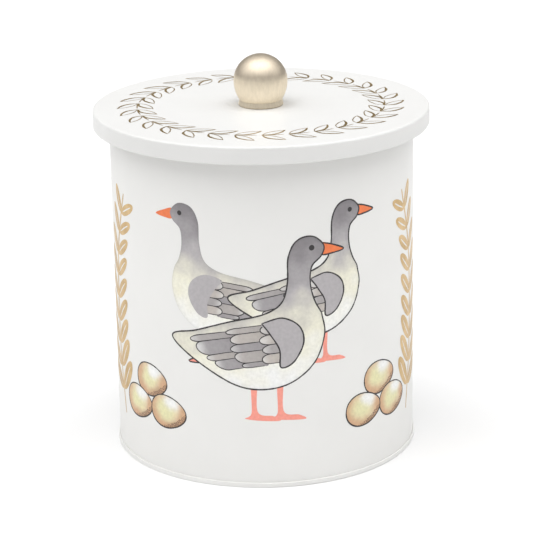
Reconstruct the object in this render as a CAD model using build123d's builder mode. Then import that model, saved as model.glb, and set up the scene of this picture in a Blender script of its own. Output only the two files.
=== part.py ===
"""Cookie tin: a round tinplate container with a lift-off lid and a ball knob.

Millimetres, +Z up, origin at the centre of the foot. The wall's lock seam is at the back, +Y.
"""
import os

from build123d import *

# Driving dimensions
BODY_RADIUS = 70.1
LID_RADIUS = 77.5
LID_TOP = 160.8
SKIRT_DEPTH = 8.1
KNOB_RADIUS = 12.4
SHEET = 0.23  # one gauge of tinplate throughout

# Gaps
SEAM_GAP = 0.02  # between the pressed layers of one part
SEAL_CLEARANCE = 0.3  # between the seal and the sheets that it slides on
LID_REST_GAP = 0.1  # between the wall's bead and the closed lid's flange

# Base: double seam and recessed panel with a stiffening bead
SEAM_HEIGHT = 2.33
SEAM_BEND = 0.2  # mid-surface radius of the seam's tight bends
PANEL_HEIGHT = 3.4
PANEL_BEND = 0.8
PANEL_BEAD_RADIUS = 57.0
PANEL_BEAD_RISE = 0.9
PANEL_BEAD_WIDTH = 6.0
PANEL_BEAD_SLOPE = 1.2  # width of each of the bead's slopes

# Mouth bead, rolled outwards
BEAD_RADIUS = 1.3
BEAD_WRAP = 300

# Lock seam up the back of the wall
LOCK_WIDTH = 4.0
LOCK_DEPTH = 0.5
LOCK_START = 6.0
LOCK_END = 146.0
LOCK_GROOVE_WIDTH = 0.3
LOCK_GROOVE_DEPTH = 0.12

# Lid cover
EDGE_BEND = 1.0
HEM_RADIUS = 0.85
HEM_WRAP = 250

# Lid liner: a ring-shaped plug round a raised centre
PLUG_FLOOR = 149.0
PLUG_INNER_RADIUS = 53.0
PLUG_DRAFT = 1.5
PLUG_RADIUS = 68.2
PLUG_BEND = 1.2
SEAL_GROOVE_LOW = 151.2
SEAL_GROOVE_HIGH = 156.6
SEAL_GROOVE_DEPTH = 1.1
SEAL_GROOVE_BEND = 0.4
LINER_EDGE = 154.7  # lower end of the liner's rim, just above the cover's hem

# Seal: a band with two lips
SEAL_BAND = 0.9
SEAL_LIP = 0.7
SEAL_LIP_PITCH = 2.4

# Knob
KNOB_CENTRE = 11.4  # above the lid
KNOB_NECK_RADIUS = 9.85
KNOB_NECK_HEIGHT = 2.7
KNOB_FOOT_RADIUS = 10.35
KNOB_FOOT_HEIGHT = 1.8
KNOB_FOOT_ROUND = 0.5
TAPPED_RADIUS = 2.03
TAPPED_DEPTH = 9.5

# Pan-head screw, M4 x 10, and its washer
SCREW_RADIUS = 2.0
SCREW_LENGTH = 10.0
SCREW_HOLE_RADIUS = 2.25
HEAD_RADIUS = 4.0
HEAD_HEIGHT = 2.4
HEAD_ROUND = 1.2
RECESS_LENGTH = 4.4
RECESS_WIDTH = 0.9
RECESS_DEPTH = 1.5
WASHER_RADIUS = 5.0
WASHER_THICKNESS = 1.0

# Mid-surfaces and levels worked out from the above
layer_pitch = SHEET + SEAM_GAP
wall_middle = BODY_RADIUS - SHEET / 2
wall_inside = BODY_RADIUS - SHEET
cover_middle = LID_RADIUS - SHEET / 2
cover_level = LID_TOP - SHEET / 2
liner_level = cover_level - layer_pitch
liner_underside = liner_level - SHEET / 2
mouth_level = liner_underside - LID_REST_GAP
screw_seat = liner_underside - WASHER_THICKNESS

# Wall: hooked flange at the foot, straight side, rolled bead at the mouth, lock seam inside
with BuildPart() as body_wall:
    hook_radius = wall_middle + 2 * layer_pitch
    flange_level = SHEET / 2 + layer_pitch
    roll_radius = BEAD_RADIUS - SHEET / 2
    roll_level = mouth_level - BEAD_RADIUS
    with BuildSketch(Plane.XZ):
        with BuildLine():
            FilletPolyline(
                (hook_radius, SEAM_HEIGHT - 2 * layer_pitch),
                (hook_radius, flange_level),
                (wall_middle, flange_level),
                (wall_middle, roll_level),
                radius=SEAM_BEND,
            )
            CenterArc((wall_middle + roll_radius, roll_level), roll_radius, 180, -BEAD_WRAP)
        trace(line_width=SHEET)
    revolve(axis=Axis.Z)
    with BuildSketch(Plane.XY.offset(LOCK_START)):
        with Locations((0, wall_inside)):
            Rectangle(LOCK_WIDTH, 2 * LOCK_DEPTH)
        Circle(wall_middle, mode=Mode.INTERSECT)
    extrude(amount=LOCK_END - LOCK_START)
    with BuildSketch(Plane.XY.offset(LOCK_START)):
        with Locations((LOCK_WIDTH / 2, BODY_RADIUS)):
            Rectangle(LOCK_GROOVE_WIDTH, 2 * LOCK_GROOVE_DEPTH)
    extrude(amount=LOCK_END - LOCK_START, mode=Mode.SUBTRACT)
body_wall.part.label = "body_wall"

# Base: recessed panel, chuck wall down inside the wall, seam rolled up round the wall's hook
with BuildPart() as base_plate:
    bead_inner = PANEL_BEAD_RADIUS - PANEL_BEAD_WIDTH / 2
    bead_outer = PANEL_BEAD_RADIUS + PANEL_BEAD_WIDTH / 2
    chuck_radius = wall_middle - layer_pitch
    seam_radius = wall_middle + 3 * layer_pitch
    hook_radius = wall_middle + layer_pitch
    with BuildSketch(Plane.XZ):
        with BuildLine():
            FilletPolyline(
                (0, PANEL_HEIGHT),
                (bead_inner, PANEL_HEIGHT),
                (bead_inner + PANEL_BEAD_SLOPE, PANEL_HEIGHT + PANEL_BEAD_RISE),
                (bead_outer - PANEL_BEAD_SLOPE, PANEL_HEIGHT + PANEL_BEAD_RISE),
                (bead_outer, PANEL_HEIGHT),
                (chuck_radius, PANEL_HEIGHT),
                (chuck_radius, SHEET / 2),
                (seam_radius, SHEET / 2),
                (seam_radius, SEAM_HEIGHT - SHEET / 2),
                (hook_radius, SEAM_HEIGHT - SHEET / 2),
                (hook_radius, flange_level + layer_pitch),
                radius=[PANEL_BEND] * 5 + [SEAM_BEND] * 4,
            )
        trace(line_width=SHEET)
    revolve(axis=Axis.Z)
base_plate.part.label = "base_plate"

# Cover: flat top, rounded edge, skirt, hem rolled inwards
with BuildPart() as lid_cover:
    hem_roll = HEM_RADIUS - SHEET / 2
    hem_level = LID_TOP - SKIRT_DEPTH + HEM_RADIUS
    with BuildSketch(Plane.XZ):
        with BuildLine():
            FilletPolyline(
                (SCREW_HOLE_RADIUS, cover_level),
                (cover_middle, cover_level),
                (cover_middle, hem_level),
                radius=EDGE_BEND,
            )
            CenterArc((cover_middle - hem_roll, hem_level), hem_roll, 0, -HEM_WRAP)
        trace(line_width=SHEET)
    revolve(axis=Axis.Z)
lid_cover.part.label = "lid_cover"

# Liner: raised centre against the cover, plug with a groove for the seal, rim inside the skirt
with BuildPart() as lid_liner:
    plug_middle = PLUG_RADIUS - SHEET / 2
    plug_level = PLUG_FLOOR + SHEET / 2
    groove_middle = plug_middle - SEAL_GROOVE_DEPTH
    rim_middle = cover_middle - layer_pitch
    with BuildSketch(Plane.XZ):
        with BuildLine():
            FilletPolyline(
                (SCREW_HOLE_RADIUS, liner_level),
                (PLUG_INNER_RADIUS, liner_level),
                (PLUG_INNER_RADIUS + PLUG_DRAFT, plug_level),
                (plug_middle, plug_level),
                (plug_middle, SEAL_GROOVE_LOW),
                (groove_middle, SEAL_GROOVE_LOW),
                (groove_middle, SEAL_GROOVE_HIGH),
                (plug_middle, SEAL_GROOVE_HIGH),
                (plug_middle, liner_level),
                (rim_middle, liner_level),
                (rim_middle, LINER_EDGE),
                radius=[PLUG_BEND] * 3 + [SEAL_GROOVE_BEND] * 4 + [PLUG_BEND, EDGE_BEND - layer_pitch],
            )
        trace(line_width=SHEET)
    revolve(axis=Axis.Z)
lid_liner.part.label = "lid_liner"

# Seal: band that sits in the liner's groove, with two lips that reach for the wall
with BuildPart() as lid_seal:
    band_inside = groove_middle + SHEET / 2 + SEAL_CLEARANCE
    band_low = SEAL_GROOVE_LOW + SHEET / 2 + SEAL_CLEARANCE
    band_high = SEAL_GROOVE_HIGH - SHEET / 2 - SEAL_CLEARANCE
    band_middle = (band_low + band_high) / 2
    lip_reach = wall_inside - SEAL_CLEARANCE - band_inside
    with BuildSketch(Plane.XZ):
        with Locations((band_inside, band_middle)):
            Rectangle(SEAL_BAND, band_high - band_low, align=(Align.MIN, Align.CENTER))
            with GridLocations(0, SEAL_LIP_PITCH, 1, 2):
                Rectangle(lip_reach - SEAL_LIP / 2, SEAL_LIP, align=(Align.MIN, Align.CENTER))
                with Locations((lip_reach - SEAL_LIP / 2, 0)):
                    Circle(SEAL_LIP / 2)
    revolve(axis=Axis.Z)
lid_seal.part.label = "lid_seal"

# Knob: half a ball on a tapering lower half, necked in above a small foot, tapped from below
with BuildPart() as knob:
    with BuildSketch(Plane.XZ.offset(0)):
        with BuildLine():
            equator = (KNOB_RADIUS, LID_TOP + KNOB_CENTRE)
            neck = (KNOB_NECK_RADIUS, LID_TOP + KNOB_NECK_HEIGHT)
            foot_top = (KNOB_FOOT_RADIUS - KNOB_FOOT_ROUND / 2, LID_TOP + KNOB_FOOT_HEIGHT)
            Line((0, LID_TOP + KNOB_CENTRE + KNOB_RADIUS), (0, LID_TOP))
            Polyline(
                (0, LID_TOP),
                (KNOB_FOOT_RADIUS - KNOB_FOOT_ROUND, LID_TOP),
                (KNOB_FOOT_RADIUS, LID_TOP + KNOB_FOOT_ROUND),
                foot_top,
                neck,
            )
            TangentArc(equator, neck, tangent=(0, -1))
            CenterArc((0, LID_TOP + KNOB_CENTRE), KNOB_RADIUS, 0, 90)
        make_face()
    revolve(axis=Axis.Z)
    with BuildSketch(Plane.XY.offset(LID_TOP)):
        Circle(TAPPED_RADIUS)
    extrude(amount=TAPPED_DEPTH, mode=Mode.SUBTRACT)
knob.part.label = "knob"

# Screw: pan head with a cross recess, driven upwards from inside the lid
with BuildPart() as knob_screw:
    with BuildSketch(Plane.XY.offset(screw_seat)):
        Circle(HEAD_RADIUS)
    extrude(amount=-HEAD_HEIGHT)
    fillet(knob_screw.edges().sort_by(Axis.Z)[0], radius=HEAD_ROUND)
    with BuildSketch(Plane.XY.offset(screw_seat - HEAD_HEIGHT)):
        Rectangle(RECESS_LENGTH, RECESS_WIDTH)
        Rectangle(RECESS_WIDTH, RECESS_LENGTH)
    extrude(amount=RECESS_DEPTH, mode=Mode.SUBTRACT)
    with BuildSketch(Plane.XY.offset(screw_seat)):
        Circle(SCREW_RADIUS)
    extrude(amount=SCREW_LENGTH)
knob_screw.part.label = "knob_screw"

with BuildPart() as knob_washer:
    with BuildSketch(Plane.XY.offset(screw_seat)):
        Circle(WASHER_RADIUS)
        Circle(SCREW_HOLE_RADIUS, mode=Mode.SUBTRACT)
    extrude(amount=WASHER_THICKNESS)
knob_washer.part.label = "knob_washer"

os.makedirs("parts", exist_ok=True)
for piece in (body_wall, base_plate, lid_cover, lid_liner, lid_seal, knob, knob_screw, knob_washer):
    export_step(piece.part, f"parts/{piece.part.label}.step")
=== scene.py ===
"""Looks of the cookie tin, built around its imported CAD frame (metres, +Z up, front towards -Y)."""
import math

import bpy
from mathutils import Matrix, Vector, geometry, kdtree
from mathutils import noise as hand


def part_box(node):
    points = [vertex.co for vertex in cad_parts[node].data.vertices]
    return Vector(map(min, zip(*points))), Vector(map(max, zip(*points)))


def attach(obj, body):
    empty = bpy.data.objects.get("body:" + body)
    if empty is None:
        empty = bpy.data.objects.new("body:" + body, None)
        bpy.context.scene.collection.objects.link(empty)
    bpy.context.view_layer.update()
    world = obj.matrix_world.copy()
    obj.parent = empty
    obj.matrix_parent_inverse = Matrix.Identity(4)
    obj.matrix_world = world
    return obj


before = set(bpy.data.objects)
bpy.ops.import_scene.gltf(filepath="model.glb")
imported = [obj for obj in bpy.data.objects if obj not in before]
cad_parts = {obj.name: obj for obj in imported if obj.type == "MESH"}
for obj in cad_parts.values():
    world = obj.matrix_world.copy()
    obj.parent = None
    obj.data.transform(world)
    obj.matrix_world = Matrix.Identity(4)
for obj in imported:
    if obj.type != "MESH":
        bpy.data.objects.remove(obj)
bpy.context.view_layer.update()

MM = 0.001
FINE_RELIEF = 0.01 * MM  # depth of the grain in enamel and plating

# ---------------------------------------------------------------- materials


def new_material(name):
    """Return a new node material, its tree and its Principled shader."""
    material = bpy.data.materials.new(name)
    material.use_nodes = True
    return material, material.node_tree, material.node_tree.nodes["Principled BSDF"]


def noise(tree, scale, detail=3.0, stretch=(1, 1, 1)):
    """Return the value of a noise in the object's own coordinates, with scale in lumps per metre."""
    place = tree.nodes.new("ShaderNodeTexCoord")
    mapping = tree.nodes.new("ShaderNodeMapping")
    texture = tree.nodes.new("ShaderNodeTexNoise")
    mapping.inputs["Scale"].default_value = stretch
    texture.inputs["Scale"].default_value = scale
    texture.inputs["Detail"].default_value = detail
    tree.links.new(place.outputs["Object"], mapping.inputs["Vector"])
    tree.links.new(mapping.outputs["Vector"], texture.inputs["Vector"])
    return texture.outputs["Fac"]


def ramp(tree, value, *stops):
    """Return a colour that runs through (position, colour) stops as value goes from 0 to 1."""
    node = tree.nodes.new("ShaderNodeValToRGB")
    while len(node.color_ramp.elements) < len(stops):
        node.color_ramp.elements.new(0.5)
    for element, (position, colour) in zip(node.color_ramp.elements, stops):
        element.position = position
        element.color = (*colour, 1)
    tree.links.new(value, node.inputs["Fac"])
    return node.outputs["Color"]


def spread(tree, value, low, high, start=0.0, end=1.0):
    """Return value, which runs from start to end, spread between low and high."""
    node = tree.nodes.new("ShaderNodeMapRange")
    node.inputs["From Min"].default_value = start
    node.inputs["From Max"].default_value = end
    node.inputs["To Min"].default_value = low
    node.inputs["To Max"].default_value = high
    tree.links.new(value, node.inputs["Value"])
    return node.outputs["Result"]


def multiply(tree, first, second):
    """Return the product of two colours."""
    node = tree.nodes.new("ShaderNodeMix")
    node.data_type = "RGBA"
    node.blend_type = "MULTIPLY"
    node.inputs["Factor"].default_value = 1
    tree.links.new(first, node.inputs["A"])
    tree.links.new(second, node.inputs["B"])
    return node.outputs["Result"]


def split(tree, output):
    """Return the X, Y and Z of the object's own place ("Object") or facing ("Normal")."""
    place = tree.nodes.new("ShaderNodeTexCoord")
    parts = tree.nodes.new("ShaderNodeSeparateXYZ")
    tree.links.new(place.outputs[output], parts.inputs["Vector"])
    return parts.outputs


def within(tree, radius):
    """Return 1 on faces nearer to the tin's axis than a radius in metres, and 0 on the rest."""
    softness = 0.01 * MM
    place = tree.nodes.new("ShaderNodeTexCoord")
    flatten = tree.nodes.new("ShaderNodeVectorMath")
    flatten.operation = "MULTIPLY"
    flatten.inputs[1].default_value = (1, 1, 0)
    length = tree.nodes.new("ShaderNodeVectorMath")
    length.operation = "LENGTH"
    tree.links.new(place.outputs["Object"], flatten.inputs[0])
    tree.links.new(flatten.outputs["Vector"], length.inputs[0])
    return spread(tree, length.outputs["Value"], 1, 0, radius - softness, radius + softness)


def mixed(tree, share, first, second):
    """Return first where share is 0 and second where it is 1; plain values mix as greys."""
    node = tree.nodes.new("ShaderNodeMix")
    node.data_type = "RGBA"
    tree.links.new(share, node.inputs["Factor"])
    tree.links.new(first, node.inputs["A"])
    tree.links.new(second, node.inputs["B"])
    return node.outputs["Result"]


def bump(tree, shader, relief, distance, strength=1.0):
    """Roughen the shader's surface by a relief that is distance metres deep."""
    node = tree.nodes.new("ShaderNodeBump")
    node.inputs["Distance"].default_value = distance
    node.inputs["Strength"].default_value = strength
    tree.links.new(relief, node.inputs["Height"])
    tree.links.new(node.outputs["Normal"], shader.inputs["Normal"])


def enamel(name, low, high):
    """Satin off-white enamel, with the faint unevenness of a roller coat."""
    material, tree, shader = new_material(name)
    tone = ramp(tree, noise(tree, 40), (0.3, low), (0.7, high))
    tree.links.new(tone, shader.inputs["Base Color"])
    tree.links.new(spread(tree, noise(tree, 300), 0.36, 0.46), shader.inputs["Roughness"])
    bump(tree, shader, noise(tree, 1400, 2), FINE_RELIEF)
    return material


def tinplate_marks(tree):
    """Return the colour and roughness of bare tinplate, with fine rolling marks."""
    marks = noise(tree, 900, 4, (1, 1, 0.02))
    colour = ramp(tree, marks, (0.2, (0.62, 0.61, 0.58)), (0.8, (0.74, 0.73, 0.70)))
    return colour, spread(tree, marks, 0.2, 0.38)


def tinplate():
    """Bare tinplate."""
    material, tree, shader = new_material("bare_tinplate")
    shader.inputs["Metallic"].default_value = 1
    colour, roughness = tinplate_marks(tree)
    tree.links.new(colour, shader.inputs["Base Color"])
    tree.links.new(roughness, shader.inputs["Roughness"])
    return material


def bare_inside(material, radius, facing_up=False):
    """Leave the tinplate bare within a radius in metres, or only where it also faces up."""
    tree = material.node_tree
    shader = tree.nodes["Principled BSDF"]
    bare = within(tree, radius)
    if facing_up:
        both = tree.nodes.new("ShaderNodeMath")
        both.operation = "MULTIPLY"
        tree.links.new(bare, both.inputs[0])
        tree.links.new(spread(tree, split(tree, "Normal")["Z"], 0, 1, 0.3, 0.4), both.inputs[1])
        bare = both.outputs["Value"]
    for socket, plate in zip(("Base Color", "Roughness"), tinplate_marks(tree)):
        enamelled = shader.inputs[socket].links[0].from_socket
        tree.links.new(mixed(tree, bare, enamelled, plate), shader.inputs[socket])
    tree.links.new(bare, shader.inputs["Metallic"])
    return material


def champagne_gold():
    """Champagne-gold plating, faintly brushed all over, with a painted reflection: the dome above the
    equator is coloured darker and browner and the lower half paler, standing in for the dim studio above and
    the white lid below that the knob mirrors.
    """
    material, tree, shader = new_material("champagne_gold")
    shader.inputs["Metallic"].default_value = 1
    foot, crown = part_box("knob")
    # painted reflection: above this height the plating is coloured darker and browner, below it paler, in
    # place of what the knob mirrors
    reflection_border = foot[2] + 0.60 * (crown[2] - foot[2])
    fade = 1.2 * MM
    dome_painted_darker = spread(tree, split(tree, "Object")["Z"], 0, 1, reflection_border - fade, reflection_border + fade)
    plating_and_painted_reflection = ramp(tree, dome_painted_darker, (0, (0.87, 0.775, 0.62)), (1, (0.64, 0.56, 0.45)))
    brushing = noise(tree, 900, 4, (1, 1, 0.3))
    grain = ramp(tree, brushing, (0.3, (0.94, 0.935, 0.92)), (0.7, (1.04, 1.04, 1.04)))
    tree.links.new(multiply(tree, plating_and_painted_reflection, grain), shader.inputs["Base Color"])
    tree.links.new(spread(tree, brushing, 0.44, 0.54), shader.inputs["Roughness"])
    bump(tree, shader, noise(tree, 2500, 3), FINE_RELIEF)
    return material


def zinc_plate():
    """Bright zinc plating on the screw and washer."""
    material, tree, shader = new_material("zinc_plate")
    shader.inputs["Metallic"].default_value = 1
    marks = noise(tree, 1200)
    colour = ramp(tree, marks, (0.3, (0.60, 0.62, 0.65)), (0.7, (0.72, 0.73, 0.76)))
    tree.links.new(colour, shader.inputs["Base Color"])
    tree.links.new(spread(tree, marks, 0.22, 0.36), shader.inputs["Roughness"])
    return material


def silicone():
    """Milky silicone rubber."""
    material, tree, shader = new_material("silicone")
    shader.inputs["Subsurface Weight"].default_value = 0.3
    shader.inputs["Subsurface Radius"].default_value = (2 * MM, 2 * MM, 2 * MM)
    colour = ramp(tree, noise(tree, 200), (0.3, (0.76, 0.76, 0.74)), (0.7, (0.82, 0.82, 0.80)))
    tree.links.new(colour, shader.inputs["Base Color"])
    tree.links.new(spread(tree, noise(tree, 900), 0.45, 0.6), shader.inputs["Roughness"])
    return material


def finish_node(name, material):
    """Give a CAD node its material."""
    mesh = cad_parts[name].data
    mesh.materials.clear()
    mesh.materials.append(material)


WALL_WHITE = ((0.80, 0.795, 0.776), (0.82, 0.815, 0.796))
# painted shade: the lid has the wall's white enamel, coloured about a tenth darker so that its skirt reads
# darker than the wall below
LID_WHITE_PAINTED_SHADE = ((0.725, 0.722, 0.709), (0.745, 0.742, 0.729))
STRAIGHT_WALL = (5 * MM, 150 * MM)  # heights between the base seam and the rolled mouth
PLATE_DEPTH = 0.13  # how far under the wall's face, in millimetres, its inner side counts as bare
PANEL_INSET = 0.6  # how far inside the wall's face the base's enamelled seam ends

low, high = STRAIGHT_WALL
side_points = [v.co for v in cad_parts["body_wall"].data.vertices if low < v.co.z < high]
wall_radius = max(p.xy.length for p in side_points) / MM  # in millimetres
wall_enamel = bare_inside(enamel("wall_enamel", *WALL_WHITE), (wall_radius - PLATE_DEPTH) * MM)
base_enamel = enamel("base_enamel", *WALL_WHITE)
gold = champagne_gold()
zinc = zinc_plate()
finish_node("body_wall", wall_enamel)
finish_node("base_plate", bare_inside(base_enamel, (wall_radius - PANEL_INSET) * MM, facing_up=True))
finish_node("lid_cover", enamel("lid_enamel", *LID_WHITE_PAINTED_SHADE))
finish_node("lid_liner", tinplate())
finish_node("lid_seal", silicone())
finish_node("knob", gold)
finish_node("knob_screw", zinc)
finish_node("knob_washer", zinc)

# ---------------------------------------------------------------- drawing kit, in flat millimetres


def smooth(points, step=0.8, closed=False):
    """Return points about step apart along a smooth curve through the given ones."""
    points = [Vector(p) for p in points]
    if closed:
        ends = [points[-1], *points, *points[:2]]
    else:
        ends = [2 * points[0] - points[1], *points, 2 * points[-1] - points[-2]]
    made = []
    for before, a, b, after in zip(ends, ends[1:], ends[2:], ends[3:]):
        count = max(2, round((b - a).length / step))
        for t in (k / count for k in range(count)):
            square, cube = (2 * before - 5 * a + 4 * b - after), (3 * a - 3 * b + after - before)
            made.append((2 * a + (b - before) * t + square * t * t + cube * t ** 3) / 2)
    return made if closed else made + [points[-1]]


def along(path, t):
    """Return the point at a share t of the way along a path of even steps."""
    place = min(max(t, 0), 1) * (len(path) - 1)
    i = min(int(place), len(path) - 2)
    return path[i].lerp(path[i + 1], place - i)


def blend(colours, t):
    """Return the colour at t, from 0 to 1, through evenly spaced colours."""
    return along([Vector(c) for c in colours], t)


def wander(x, y, scale, seed=0.0):
    """Return a smooth value from about -1 to 1 that drifts with the place."""
    return hand.noise(Vector((x * scale, y * scale, seed)))


def paint(red, green, blue):
    """Return the linear colour of a paint named by its display values."""
    return Vector(((c / 255 + 0.055) / 1.055) ** 2.4 for c in (red, green, blue))


def wash(start, end, *colours, pool=0.8, bloom=0.15):
    """Return a watercolour wash that runs through colours from start to end and pools at its edge."""
    start, way = Vector(start), Vector(end) - Vector(start)

    def colour_at(p, edge):
        t = (p - start).dot(way) / way.length_squared + bloom * wander(p.x, p.y, 0.15, 7)
        return blend(colours, t) * (1 - (1 - pool) * math.exp(-edge / POOL_REACH))

    return colour_at


def stained(base, *stains, pool=0.85):
    """Return a base wash with soft stains, each (x, y, its reach along x, along y, colour)."""

    def colour_at(p, edge):
        x = p.x + 1.6 * wander(p.x, p.y, 0.16, 1) + 0.6 * wander(p.x, p.y, 0.5, 4)
        y = p.y + 1.6 * wander(p.x, p.y, 0.16, 2) + 0.6 * wander(p.x, p.y, 0.5, 5)
        colour = base.copy()
        for across, up, wide, tall, stain in stains:
            far = ((x - across) / wide) ** 2 + ((y - up) / tall) ** 2
            colour = colour.lerp(stain, math.exp(-far * far))
        return colour * (1 - (1 - pool) * math.exp(-edge / POOL_REACH))

    return colour_at


def on_wall(x, y, lift):
    """Wrap a flat point round the wall: x is the way round from the front, y the height."""
    radius = wall_radius + lift
    angle = x / wall_radius
    return Vector((radius * math.sin(angle), -radius * math.cos(angle), y)) * MM


def on_lid(x, y, lift):
    """Lay a flat point on the lid's top, found by a ray that drops onto the cover."""
    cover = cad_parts["lid_cover"]
    above = Vector((x * MM, y * MM, 1))
    return cover.ray_cast(above, Vector((0, 0, -1)))[1] + Vector((0, 0, lift * MM))


BARE = None  # stands for no paint at all
POOL_REACH = 0.5  # how far in from its edge a wash darkens
FILM = 0.03  # how proud the printed film stands, in millimetres


class Print:
    """A printed picture: outlines painted one over another, flattened into one thin film."""

    def __init__(self):
        self.outlines = []
        self.colours = []

    def fill(self, outline, colour_at):
        """Paint a closed outline; colour_at takes a point and how far it lies from the outline.

        With BARE for colour_at, the outline is left out of the film.
        """
        turns = zip(outline, outline[1:] + outline[:1])
        if sum(a.x * b.y - b.x * a.y for a, b in turns) < 0:
            outline = outline[::-1]
        self.outlines.append(outline)
        self.colours.append(colour_at)

    def pen(self, points, width, colour, blunt=0.35, step=0.9):
        """Draw a pen line that swells in the middle and wavers a little."""
        path = smooth(points, step)
        left, right = [], []
        for i, p in enumerate(path):
            ahead = path[min(i + 1, len(path) - 1)] - path[max(i - 1, 0)]
            side = Vector((-ahead.y, ahead.x)).normalized()
            swell = blunt + (1 - blunt) * math.sqrt(max(0, math.sin(math.pi * i / (len(path) - 1))))
            half = width / 2 * swell * (1 + 0.3 * wander(p.x, p.y, 0.5, width))
            middle = p + side * 0.06 * wander(p.x, p.y, 0.3, 3)
            left.append(middle + side * half)
            right.append(middle - side * half)
        self.fill(left + right[::-1], colour)

    def build(self, name, place, material, body, grain=1.4):
        """Make the print an object that rides on a body of the tin, with faces about grain across."""
        corners = [p for outline in self.outlines for p in outline]
        loops, first = [], 0
        for outline in self.outlines:
            loops.append(list(range(first, first + len(outline))))
            first += len(outline)
        low = [min(p[k] for p in corners) for k in (0, 1)]
        high = [max(p[k] for p in corners) for k in (0, 1)]
        rows = range(int((high[1] - low[1]) / grain) + 1)
        columns = range(int((high[0] - low[0]) / grain) + 1)
        lattice = [(i + 0.5 * (j % 2), j) for j in rows for i in columns]
        filling = [Vector((low[0] + across * grain, low[1] + up * grain)) for across, up in lattice]
        flat, _, faces, _, _, owners = geometry.delaunay_2d_cdt(corners + filling, [], loops, 0, 0.01)
        shown = [(face, max(owner)) for face, owner in zip(faces, owners) if owner]
        shown = [(face, owner) for face, owner in shown if self.colours[owner] is not BARE]
        used = {old: new for new, old in enumerate(sorted({i for face, _ in shown for i in face}))}
        mesh = bpy.data.meshes.new(name)
        points = [place(*flat[i], FILM) for i in used]
        mesh.from_pydata(points, [], [[used[i] for i in face] for face, _ in shown])
        rims = {}
        tints = {}
        pigment = []
        for face, owner in shown:
            for i in face:
                if (owner, i) not in tints:
                    if owner not in rims:
                        rims[owner] = kdtree.KDTree(len(self.outlines[owner]))
                        for k, p in enumerate(self.outlines[owner]):
                            rims[owner].insert((p.x, p.y, 0), k)
                        rims[owner].balance()
                    p = flat[i]
                    tints[owner, i] = self.colours[owner](p, rims[owner].find((p.x, p.y, 0))[2])
                pigment += [*tints[owner, i], 1]
        mesh.color_attributes.new("pigment", "FLOAT_COLOR", "CORNER").data.foreach_set("color", pigment)
        mesh.polygons.foreach_set("use_smooth", [True] * len(mesh.polygons))
        mesh.materials.append(material)
        piece = bpy.data.objects.new(name, mesh)
        bpy.context.scene.collection.objects.link(piece)
        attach(piece, body)


def flat_tint(colour):
    """Return a colour function that is the same all over."""
    return lambda p, edge: colour


# ---------------------------------------------------------------- printed materials


def print_colours():
    """Printed wash and ink: the pigment painted on each point, grained like colour on paper."""
    material, tree, shader = new_material("print_colours")
    pigment = tree.nodes.new("ShaderNodeAttribute")
    pigment.attribute_name = "pigment"
    grain = ramp(tree, noise(tree, 700, 5), (0.3, (0.92, 0.92, 0.92)), (0.7, (1.05, 1.05, 1.05)))
    tree.links.new(multiply(tree, pigment.outputs["Color"], grain), shader.inputs["Base Color"])
    tree.links.new(spread(tree, noise(tree, 300), 0.4, 0.5), shader.inputs["Roughness"])
    return material


# ---------------------------------------------------------------- plumage

INK = flat_tint(paint(44, 40, 42))
PEN = 0.72  # width of an outline
FINE = 0.46  # width of a detail line

GREY = paint(134, 130, 133)
SILVER = paint(178, 174, 176)
ASH = paint(160, 156, 158)
SAND = paint(196, 188, 180)
CREAM = paint(238, 235, 216)
WHITE = paint(243, 243, 241)
BILL = flat_tint(paint(238, 124, 70))
LEG = flat_tint(paint(246, 156, 140))


class Plumage:
    """Rows of overlapping feathers that flow from a front edge, through a bend, to their tips.

    Each row is (where its tips end along the flow, how many feathers it has, how far they round out).
    """

    def __init__(self, front, bend, tips, rows):
        self.edges = [smooth(edge, 0.5) for edge in (front, bend, tips)]
        self.rows = rows

    def at(self, u, v):
        """Return the flat point at a share u along the flow and v across it."""
        a, b, c = (along(edge, v) for edge in self.edges)
        return a.lerp(b, u).lerp(b.lerp(c, u), u)

    def paint(self, sheet, tints, width):
        """Paint and ink the feathers, the row nearest the tips first."""
        starts = [0, *(end for end, _, _ in self.rows)]
        for row in reversed(range(len(self.rows))):
            end, count, depth = self.rows[row]
            root = starts[row] - (0.6 * self.rows[row - 1][2] if row else 0) - 0.02
            offset = 0.5 * (row % 2)
            shifts = [0.35 * wander(j * 1.9, row * 4.7, 1, 6) for j in range(count + row % 2 + 1)]
            cuts = [(j - offset + shift) / count for j, shift in enumerate(shifts)]
            for j, (low, high) in enumerate(zip(cuts, cuts[1:])):
                low, high = max(0, low), min(1, high)
                if high - low < 0.3 / count:
                    continue
                reach = end + 0.6 * depth * wander(row * 3.1, j * 1.7, 1, 9)
                tint = blend(tints, 0.5 + wander(row * 5.3, j * 2.9, 1, 3))
                self.feather(sheet, low, high, root, reach, depth, tint, width)

    def feather(self, sheet, low, high, root, reach, depth, tint, width):
        """Paint one feather between two lines of the flow, from its root to its tip."""
        middle = (low + high) / 2
        ways = [root + (reach - depth - root) * k / 6 for k in range(7)]
        round_end = []
        for k in range(1, 8):
            turn = math.pi * k / 8
            u = reach - depth * (1 - math.sin(turn))
            round_end.append(self.at(u, middle - (high - low) / 2 * math.cos(turn)))
        side = [self.at(u, low) for u in ways]
        rest = round_end + [self.at(u, high) for u in ways[::-1]]
        shades = (tint.lerp(WHITE, 0.55), tint, tint, 0.93 * tint, 0.8 * tint)
        sheet.fill(smooth(side + rest, 0.8, closed=True),
                   wash(self.at(reach, middle), self.at(root, middle), *shades, pool=0.92, bloom=0.12))
        sheet.pen(side + rest[:-1], width, INK)


# ---------------------------------------------------------------- geese

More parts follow.
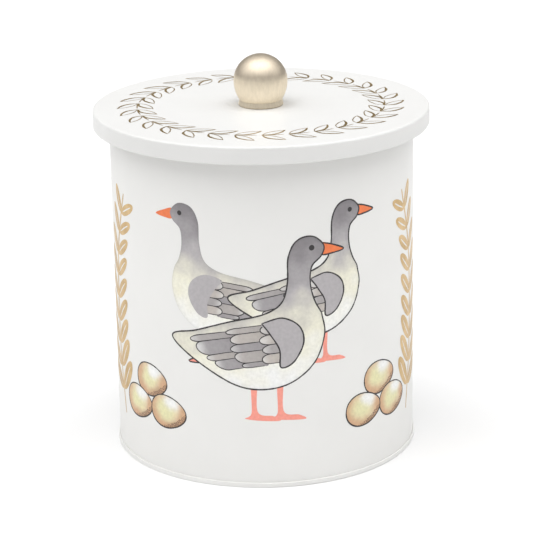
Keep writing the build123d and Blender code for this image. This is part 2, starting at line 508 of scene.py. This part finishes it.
# Outlines of a goose that faces right, in millimetres from its feet
PROFILE = [(20, 38), (21, 30), (17, 20), (7, 13), (-6, 12), (-18, 17), (-34, 28), (-24, 32), (-12, 36),
           (0, 39), (6, 43), (8, 50), (8.4, 59), (11.5, 64.6), (17, 65.6), (21, 62), (20, 58.4), (16.6, 55),
           (16, 49), (17.4, 43)]
SHOULDER = [(-1, 35.6), (6, 37.4), (12, 34), (13.4, 28), (10, 21.4), (5.4, 19.6), (5, 26), (1.6, 32)]
BEAK = [(20.2, 63), (24, 62), (28.6, 59.8), (24, 58.8), (20, 59)]
FOOT = [(-1, 14), (-1, 3), (-3, 0.8), (8.6, 0), (6.6, 1.8), (1.2, 3.4), (1, 14)]
STANCE = (-4, 5)  # how far each leg is moved along the body
EYE = (16.6, 61.6)


def placed(points, at, turn=0.0, size=1.0):
    """Return points turned by an angle in degrees, scaled and moved to a place."""
    spin = Matrix.Rotation(math.radians(turn), 2)
    return [Vector(at) + size * (spin @ Vector(p)) for p in points]


def goose(sheet, at, size, facing):
    """A plain standing goose in profile, its feet at a flat point; facing is 1 for right and -1 for left."""
    def put(*points):
        return [Vector(at) + size * Vector((facing * x, y)) for x, y in points]

    def shape(points, coat):
        outline = put(*points)
        sheet.fill(smooth(outline, 0.6, closed=True), coat)
        sheet.pen(outline + outline[:1], PEN, INK, blunt=0.8)

    for step in STANCE:
        shape([(x + step, y) for x, y in FOOT], LEG)
    shape(BEAK, BILL)
    shape(PROFILE, wash(*put((-4, 60), (6, 14)), GREY, SILVER, CREAM, WHITE))
    wing = Plumage(put((9, 36), (11, 29), (7, 21)), put((-7, 35), (-9, 27), (-6, 20)),
                   put((-28, 30), (-23, 24), (-14, 18)), [(0.32, 4, 0.1), (0.64, 4, 0.1), (1, 4, 0.1)])
    wing.paint(sheet, (SILVER, ASH, SAND, ASH), FINE)
    shape(SHOULDER, flat_tint(SILVER))
    eye = [(EYE[0] + math.cos(k * math.pi / 6), EYE[1] + math.sin(k * math.pi / 6)) for k in range(12)]
    sheet.fill(smooth(put(*eye), 0.3, closed=True), INK)


def make_geese(material):
    """Three plain geese: a large one before two small ones that look away from each other."""
    sheet = Print()
    goose(sheet, (-20, 58), 1.12, -1)
    goose(sheet, (22, 58), 1.12, 1)
    goose(sheet, (0, 32), 1.3, 1)
    sheet.build("geese_print", on_wall, material, "tin")


# ---------------------------------------------------------------- eggs

SHELL = paint(222, 198, 164)
YOLK = paint(228, 224, 178)
TAN = paint(208, 166, 130)
UMBER = paint(184, 146, 114)
HATCH = flat_tint(paint(128, 98, 76))

EGG_LENGTH = 21
EGG_BREADTH = 15.5
HEAP = [(59, 44), (69, 31), (48.5, 31)]  # middles of the eggs of a heap: how far to the side, and how high


def egg(sheet, at):
    """One egg with its light from the upper right and its shade stippled."""
    def rim(share, degrees):
        angle = math.radians(degrees)
        across = 0.5 * EGG_LENGTH * share * math.cos(angle)
        up = 0.5 * EGG_BREADTH * share * math.sin(angle) * (1 - 0.16 * math.cos(angle))
        return Vector((at[0] + across, at[1] + up))

    def stain(across, up, wide, tall, colour):
        place = (at[0] + across * EGG_LENGTH, at[1] + up * EGG_BREADTH)
        return (*place, wide * EGG_LENGTH, tall * EGG_BREADTH, colour)

    outline = [rim(1, 15 * k) for k in range(24)]
    stains = [stain(-0.42, -0.1, 0.2, 0.6, TAN), stain(-0.1, -0.5, 0.5, 0.26, TAN),
              stain(0.44, -0.2, 0.16, 0.6, TAN), stain(0.3, -0.46, 0.3, 0.24, UMBER),
              stain(-0.06, 0.04, 0.3, 0.34, YOLK), stain(0.12, 0.34, 0.22, 0.26, WHITE)]
    sheet.fill(smooth(outline, 0.7, closed=True), stained(SHELL, *stains, pool=0.9))
    sheet.pen(outline[:13], 0.8 * PEN, INK, blunt=0.8)
    sheet.pen(outline[12:] + outline[:1], PEN, INK, blunt=0.8)
    for ring, first, count in ((0.93, -112, 20), (0.86, -104, 17), (0.79, -92, 14), (0.72, -78, 9)):
        for k in range(count):
            bearing = first + 6 * k + 4 * wander(k * 2.3, ring * 9, 1, 4)
            dot = [rim(ring, bearing), rim(ring + 0.02, bearing + 2), rim(ring + 0.04, bearing + 4)]
            sheet.pen(dot, FINE, HATCH, step=0.5)


def make_eggs(name, side, material):
    """A heap of three eggs beside the geese; side is 1 for the right and -1 for the left."""
    sheet = Print()
    for across, up in HEAP:
        egg(sheet, (side * across, up))
    sheet.build(name, on_wall, material, "tin")


# ---------------------------------------------------------------- gold

GOLD = flat_tint(Vector((1, 1, 1)))


def gold_foil(name, dark, light):
    """Stamped gold foil, its tone drifting a little and its face faintly pebbled."""
    material, tree, shader = new_material(name)
    shader.inputs["Metallic"].default_value = 1
    tree.links.new(ramp(tree, noise(tree, 150, 4), (0.35, dark), (0.65, light)), shader.inputs["Base Color"])
    grain = noise(tree, 1500, 2)
    tree.links.new(spread(tree, grain, 0.34, 0.46), shader.inputs["Roughness"])
    bump(tree, shader, grain, 2 * FINE_RELIEF, 0.5)
    return material


STEM = ((84, 20), (90, 56), (88, 96), (78, 128))
LEAF_ANGLES = [k * math.pi / 10 for k in range(20)]
LEAF = [(1 + 9 * (1 - math.cos(angle)), 3.4 * math.sin(angle)) for angle in LEAF_ANGLES]
RIB = [(3, 0), (10, 0.2), (16, 0)]


def make_sprig(name, side, material):
    """A gold sprig of paired plain leaves; side is 1 for the right and -1 for the left."""
    sheet = Print()
    stem = [(side * x, y) for x, y in STEM]
    path = smooth(stem, 1)
    sheet.pen(stem, 1.5, GOLD, blunt=0.5)
    for pair in range(9):
        share = 0.1 + 0.1 * pair
        root = along(path, share)
        size = 1.05 - 0.04 * pair
        ahead = along(path, share + 0.02) - along(path, share - 0.02)
        heading = math.degrees(math.atan2(ahead.y, ahead.x))
        for lean in (-44, 44):
            turn = heading + lean
            sheet.fill(smooth(placed(LEAF, root, turn, size), 0.7, closed=True), GOLD)
            sheet.pen(placed(RIB, root, turn, size), 0.7, BARE, blunt=0.2)
    sheet.build(name, on_wall, material, "tin")


def make_wreath(material):
    """A ring of line-drawn leaves on the lid."""
    sheet = Print()
    ring, pairs, size = 57.0, 30, 1.3
    shaded_edge = [(0.4, 0), (3.6, -1.7), (7.4, -1.3), (10.4, 0.2)]
    thin_edge = [(0.4, 0), (3.2, 1.3), (7.0, 1.2), (10.4, 0.2)]
    for k in range(pairs):
        bearing = 360 * k / pairs - 90
        root = (ring * math.cos(math.radians(bearing)), ring * math.sin(math.radians(bearing)))
        for lean in (-1, 1):
            turn = bearing + 90 - 38 * lean
            sheet.pen(placed(shaded_edge, root, turn, size), 1.2, GOLD)
            sheet.pen(placed(thin_edge, root, turn, size), 0.55, GOLD)
        reach = [math.radians(bearing + d) for d in (0, 5, 10)]
        sheet.pen([(ring * math.cos(angle), ring * math.sin(angle)) for angle in reach], 0.7, GOLD)
    sheet.build("gold_wreath", on_lid, material, "lid")


picture = print_colours()
wall_gold = gold_foil("wall_gold", (0.51, 0.345, 0.155), (0.66, 0.48, 0.255))
lid_gold = gold_foil("lid_gold", (0.50, 0.35, 0.15), (0.70, 0.52, 0.26))
make_geese(picture)
make_eggs("eggs_left_print", -1, picture)
make_eggs("eggs_right_print", 1, picture)
make_sprig("gold_spray_left", -1, wall_gold)
make_sprig("gold_spray_right", 1, wall_gold)
make_wreath(lid_gold)

# ---------------------------------------------------------------- stage, light and camera


def make_floor():
    """Plain white floor."""
    mesh = bpy.data.meshes.new("floor")
    reach = 6.0
    corners = [(-reach, -reach, 0), (reach, -reach, 0), (reach, reach, 0), (-reach, reach, 0)]
    mesh.from_pydata(corners, [], [(0, 1, 2, 3)])
    floor = bpy.data.objects.new("floor", mesh)
    bpy.context.scene.collection.objects.link(floor)
    material, _, shader = new_material("floor_white")
    shader.inputs["Base Color"].default_value = (0.84, 0.84, 0.84, 1)
    shader.inputs["Roughness"].default_value = 0.9
    shader.inputs["Specular IOR Level"].default_value = 0.1
    mesh.materials.append(material)


def sun(name, energy, spread_angle, heading, height):
    """A soft lamp that shines from a heading (0 is the front, 90 the right) and a height, in degrees."""
    lamp = bpy.data.lights.new(name, "SUN")
    lamp.energy = energy
    lamp.angle = math.radians(spread_angle)
    holder = bpy.data.objects.new(name, lamp)
    aim = Matrix.Rotation(math.radians(heading), 4, "Z") @ Matrix.Rotation(math.radians(90 - height), 4, "X")
    holder.matrix_world = aim
    bpy.context.scene.collection.objects.link(holder)


def make_light():
    """Even studio light: a bright tent, with soft lamps overhead, in front and at both sides."""
    world = bpy.data.worlds.new("studio")
    world.use_nodes = True
    world.node_tree.nodes["Background"].inputs["Color"].default_value = (1, 1, 1, 1)
    world.node_tree.nodes["Background"].inputs["Strength"].default_value = 0.26
    bpy.context.scene.world = world
    sun("overhead", 0.86, 70, 0, 90)
    sun("front", 1.52, 66, -5, 70)
    sun("left", 1.00, 60, -92, 50)
    sun("right", 0.90, 60, 92, 50)
    bpy.context.scene.view_settings.view_transform = "Standard"


def make_camera():
    """Long lens a metre away, looking down on the tin."""
    place = (0.0013, -1.0215, 0.4090)
    look_down, roll = 17.73, -0.97  # in degrees
    data = bpy.data.cameras.new("camera")
    data.lens = 153.85
    data.clip_end = 20
    camera = bpy.data.objects.new("camera", data)
    pitch = Matrix.Rotation(math.radians(90 - look_down), 4, "X")
    camera.matrix_world = Matrix.Translation(place) @ pitch @ Matrix.Rotation(math.radians(roll), 4, "Z")
    bpy.context.scene.collection.objects.link(camera)
    bpy.context.scene.camera = camera


make_floor()
make_light()
make_camera()
